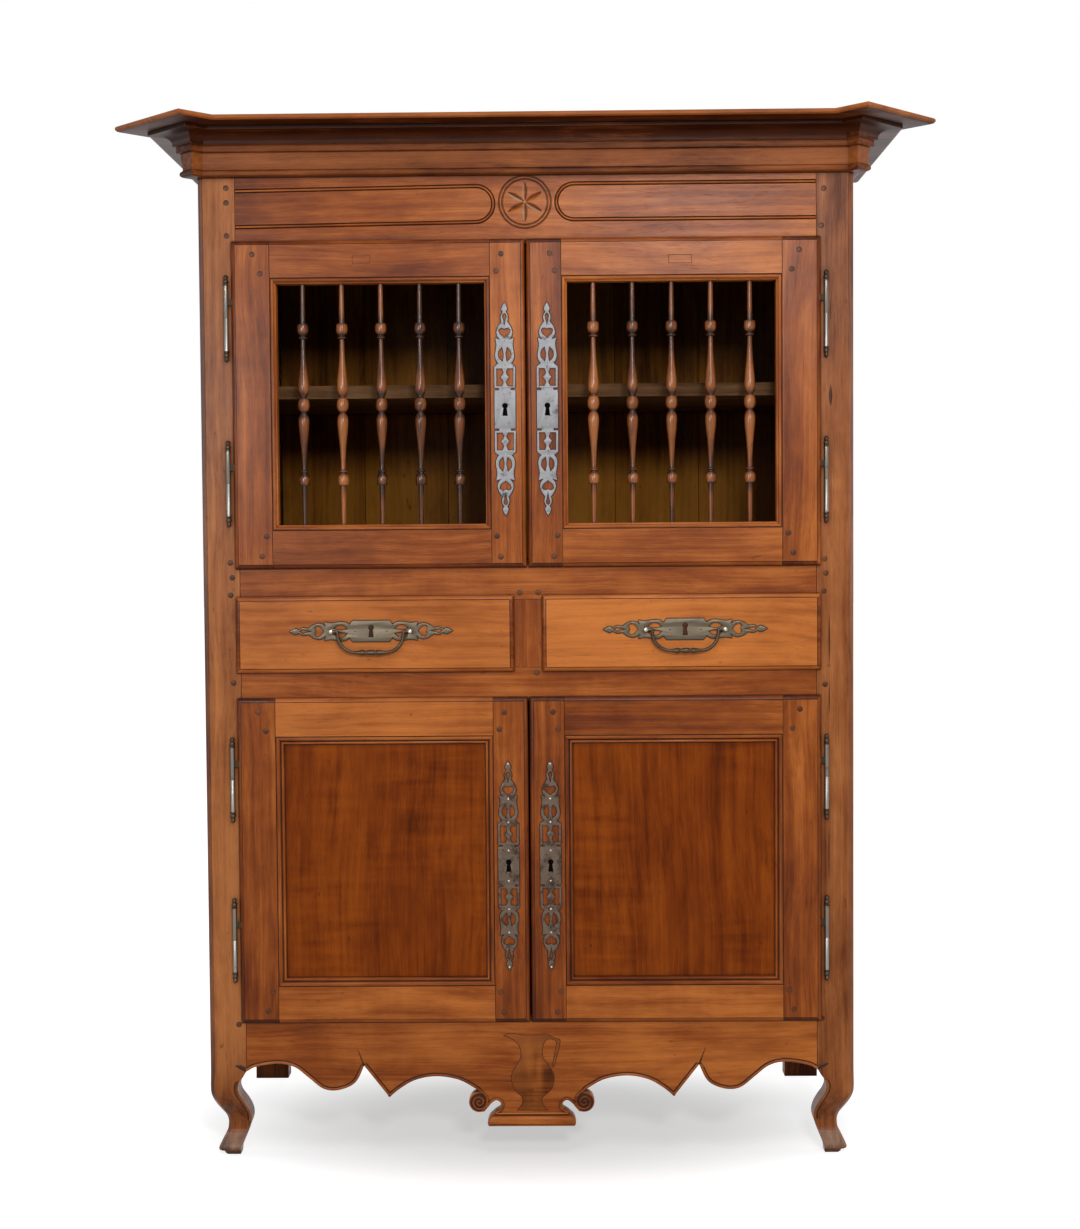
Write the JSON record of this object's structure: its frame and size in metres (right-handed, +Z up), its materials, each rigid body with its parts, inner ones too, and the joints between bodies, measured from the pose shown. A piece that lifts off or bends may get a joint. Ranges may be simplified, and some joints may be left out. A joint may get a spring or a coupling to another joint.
{
  "type": "pantry cupboard",
  "caption": "Tall carved fruitwood food cupboard with spindle doors above, lipped drawers in the middle, panelled doors below, pierced iron plates and a scalloped apron on cabriole legs.",
  "frame": {"origin": "on the floor, under the middle of the whole object's box", "axes": "+Z up, the doors and drawers face -Y, +X to the right of someone facing the doors"},
  "size_m": [1.6206, 0.7702, 2.069],
  "materials": {
    "cherry_wood": "waxed, warm orange-brown, worn at the edges",
    "panel_wood": "waxed, dark red-brown",
    "dark_wood": "dark wax, dulled",
    "inside_wood": "bare, aged brown",
    "wrought_iron": "dark forged iron, rubbed bright on the high parts",
    "bright_iron": "pale grey polished iron, tarnished in the cuts"
  },
  "bodies": {
    "carcass": {"front_post_left": "cherry_wood", "front_post_right": "cherry_wood", "back_post_left": "dark_wood", "back_post_right": "dark_wood", "frieze_rail": "cherry_wood", "rail_above_drawers": "cherry_wood", "drawer_muntin": "cherry_wood", "rail_below_drawers": "cherry_wood", "apron_rail": "cherry_wood", "side_frame_left": "cherry_wood", "side_frame_right": "cherry_wood", "back_boards": "inside_wood", "cornice_moulding": "dark_wood", "cornice_top_board": "dark_wood", "upper_shelf": "inside_wood", "upper_floor": "inside_wood", "drawer_bed": "inside_wood", "lower_floor": "inside_wood", "hinge_pintle_upper_left_1": "wrought_iron", "hinge_pintle_upper_left_2": "wrought_iron", "hinge_pintle_upper_right_1": "wrought_iron", "hinge_pintle_upper_right_2": "wrought_iron", "hinge_pintle_lower_left_1": "wrought_iron", "hinge_pintle_lower_left_2": "wrought_iron", "hinge_pintle_lower_right_1": "wrought_iron", "hinge_pintle_lower_right_2": "wrought_iron"},
    "upper_left_door": {"upper_left_hinge_stile": "cherry_wood", "upper_left_lock_stile": "cherry_wood", "upper_left_top_rail": "cherry_wood", "upper_left_bottom_rail": "cherry_wood", "upper_left_spindle_1": "cherry_wood", "upper_left_spindle_2": "cherry_wood", "upper_left_spindle_3": "cherry_wood", "upper_left_spindle_4": "cherry_wood", "upper_left_spindle_5": "cherry_wood", "upper_left_lock_plate": "bright_iron"},
    "upper_right_door": {"upper_right_hinge_stile": "cherry_wood", "upper_right_lock_stile": "cherry_wood", "upper_right_top_rail": "cherry_wood", "upper_right_bottom_rail": "cherry_wood", "upper_right_spindle_1": "cherry_wood", "upper_right_spindle_2": "cherry_wood", "upper_right_spindle_3": "cherry_wood", "upper_right_spindle_4": "cherry_wood", "upper_right_spindle_5": "cherry_wood", "upper_right_lock_plate": "bright_iron"},
    "lower_left_door": {"lower_left_door_frame": "cherry_wood", "lower_left_panel": "panel_wood", "lower_left_lock_plate": "wrought_iron"},
    "lower_right_door": {"lower_right_door_frame": "cherry_wood", "lower_right_panel": "panel_wood", "lower_right_lock_plate": "wrought_iron"},
    "drawer_left": {"drawer_left_front": "cherry_wood", "drawer_left_box": "inside_wood", "drawer_left_pull_plate": "wrought_iron"},
    "drawer_right": {"drawer_right_front": "cherry_wood", "drawer_right_box": "inside_wood", "drawer_right_pull_plate": "wrought_iron"},
    "bail_left": {"drawer_left_bail": "wrought_iron"},
    "bail_right": {"drawer_right_bail": "wrought_iron"}
  },
  "joints": [
    {"name": "upper_left_door_hinge", "type": "hinge", "parent": "carcass", "child": "upper_left_door", "pos_m": [-0.594, -0.23135, 1.5165], "axis": [0, 0, -1], "range_deg": [0, 165]},
    {"name": "upper_right_door_hinge", "type": "hinge", "parent": "carcass", "child": "upper_right_door", "pos_m": [0.594, -0.23135, 1.5165], "axis": [0, 0, 1], "range_deg": [0, 165]},
    {"name": "lower_left_door_hinge", "type": "hinge", "parent": "carcass", "child": "lower_left_door", "pos_m": [-0.594, -0.23135, 0.6055], "axis": [0, 0, -1], "range_deg": [0, 165]},
    {"name": "lower_right_door_hinge", "type": "hinge", "parent": "carcass", "child": "lower_right_door", "pos_m": [0.594, -0.23135, 0.6055], "axis": [0, 0, 1], "range_deg": [0, 165]},
    {"name": "drawer_left_slide", "type": "slide", "parent": "carcass", "child": "drawer_left", "axis": [0, -1, 0], "range_m": [0, 0.36]},
    {"name": "drawer_right_slide", "type": "slide", "parent": "carcass", "child": "drawer_right", "axis": [0, -1, 0], "range_m": [0, 0.36]},
    {"name": "bail_left_swing", "type": "hinge", "parent": "drawer_left", "child": "bail_left", "pos_m": [-0.3125, -0.25015, 1.067], "axis": [-1, 0, 0], "range_deg": [0, 95]},
    {"name": "bail_right_swing", "type": "hinge", "parent": "drawer_right", "child": "bail_right", "pos_m": [0.3125, -0.25015, 1.067], "axis": [-1, 0, 0], "range_deg": [0, 95]}
  ]
}
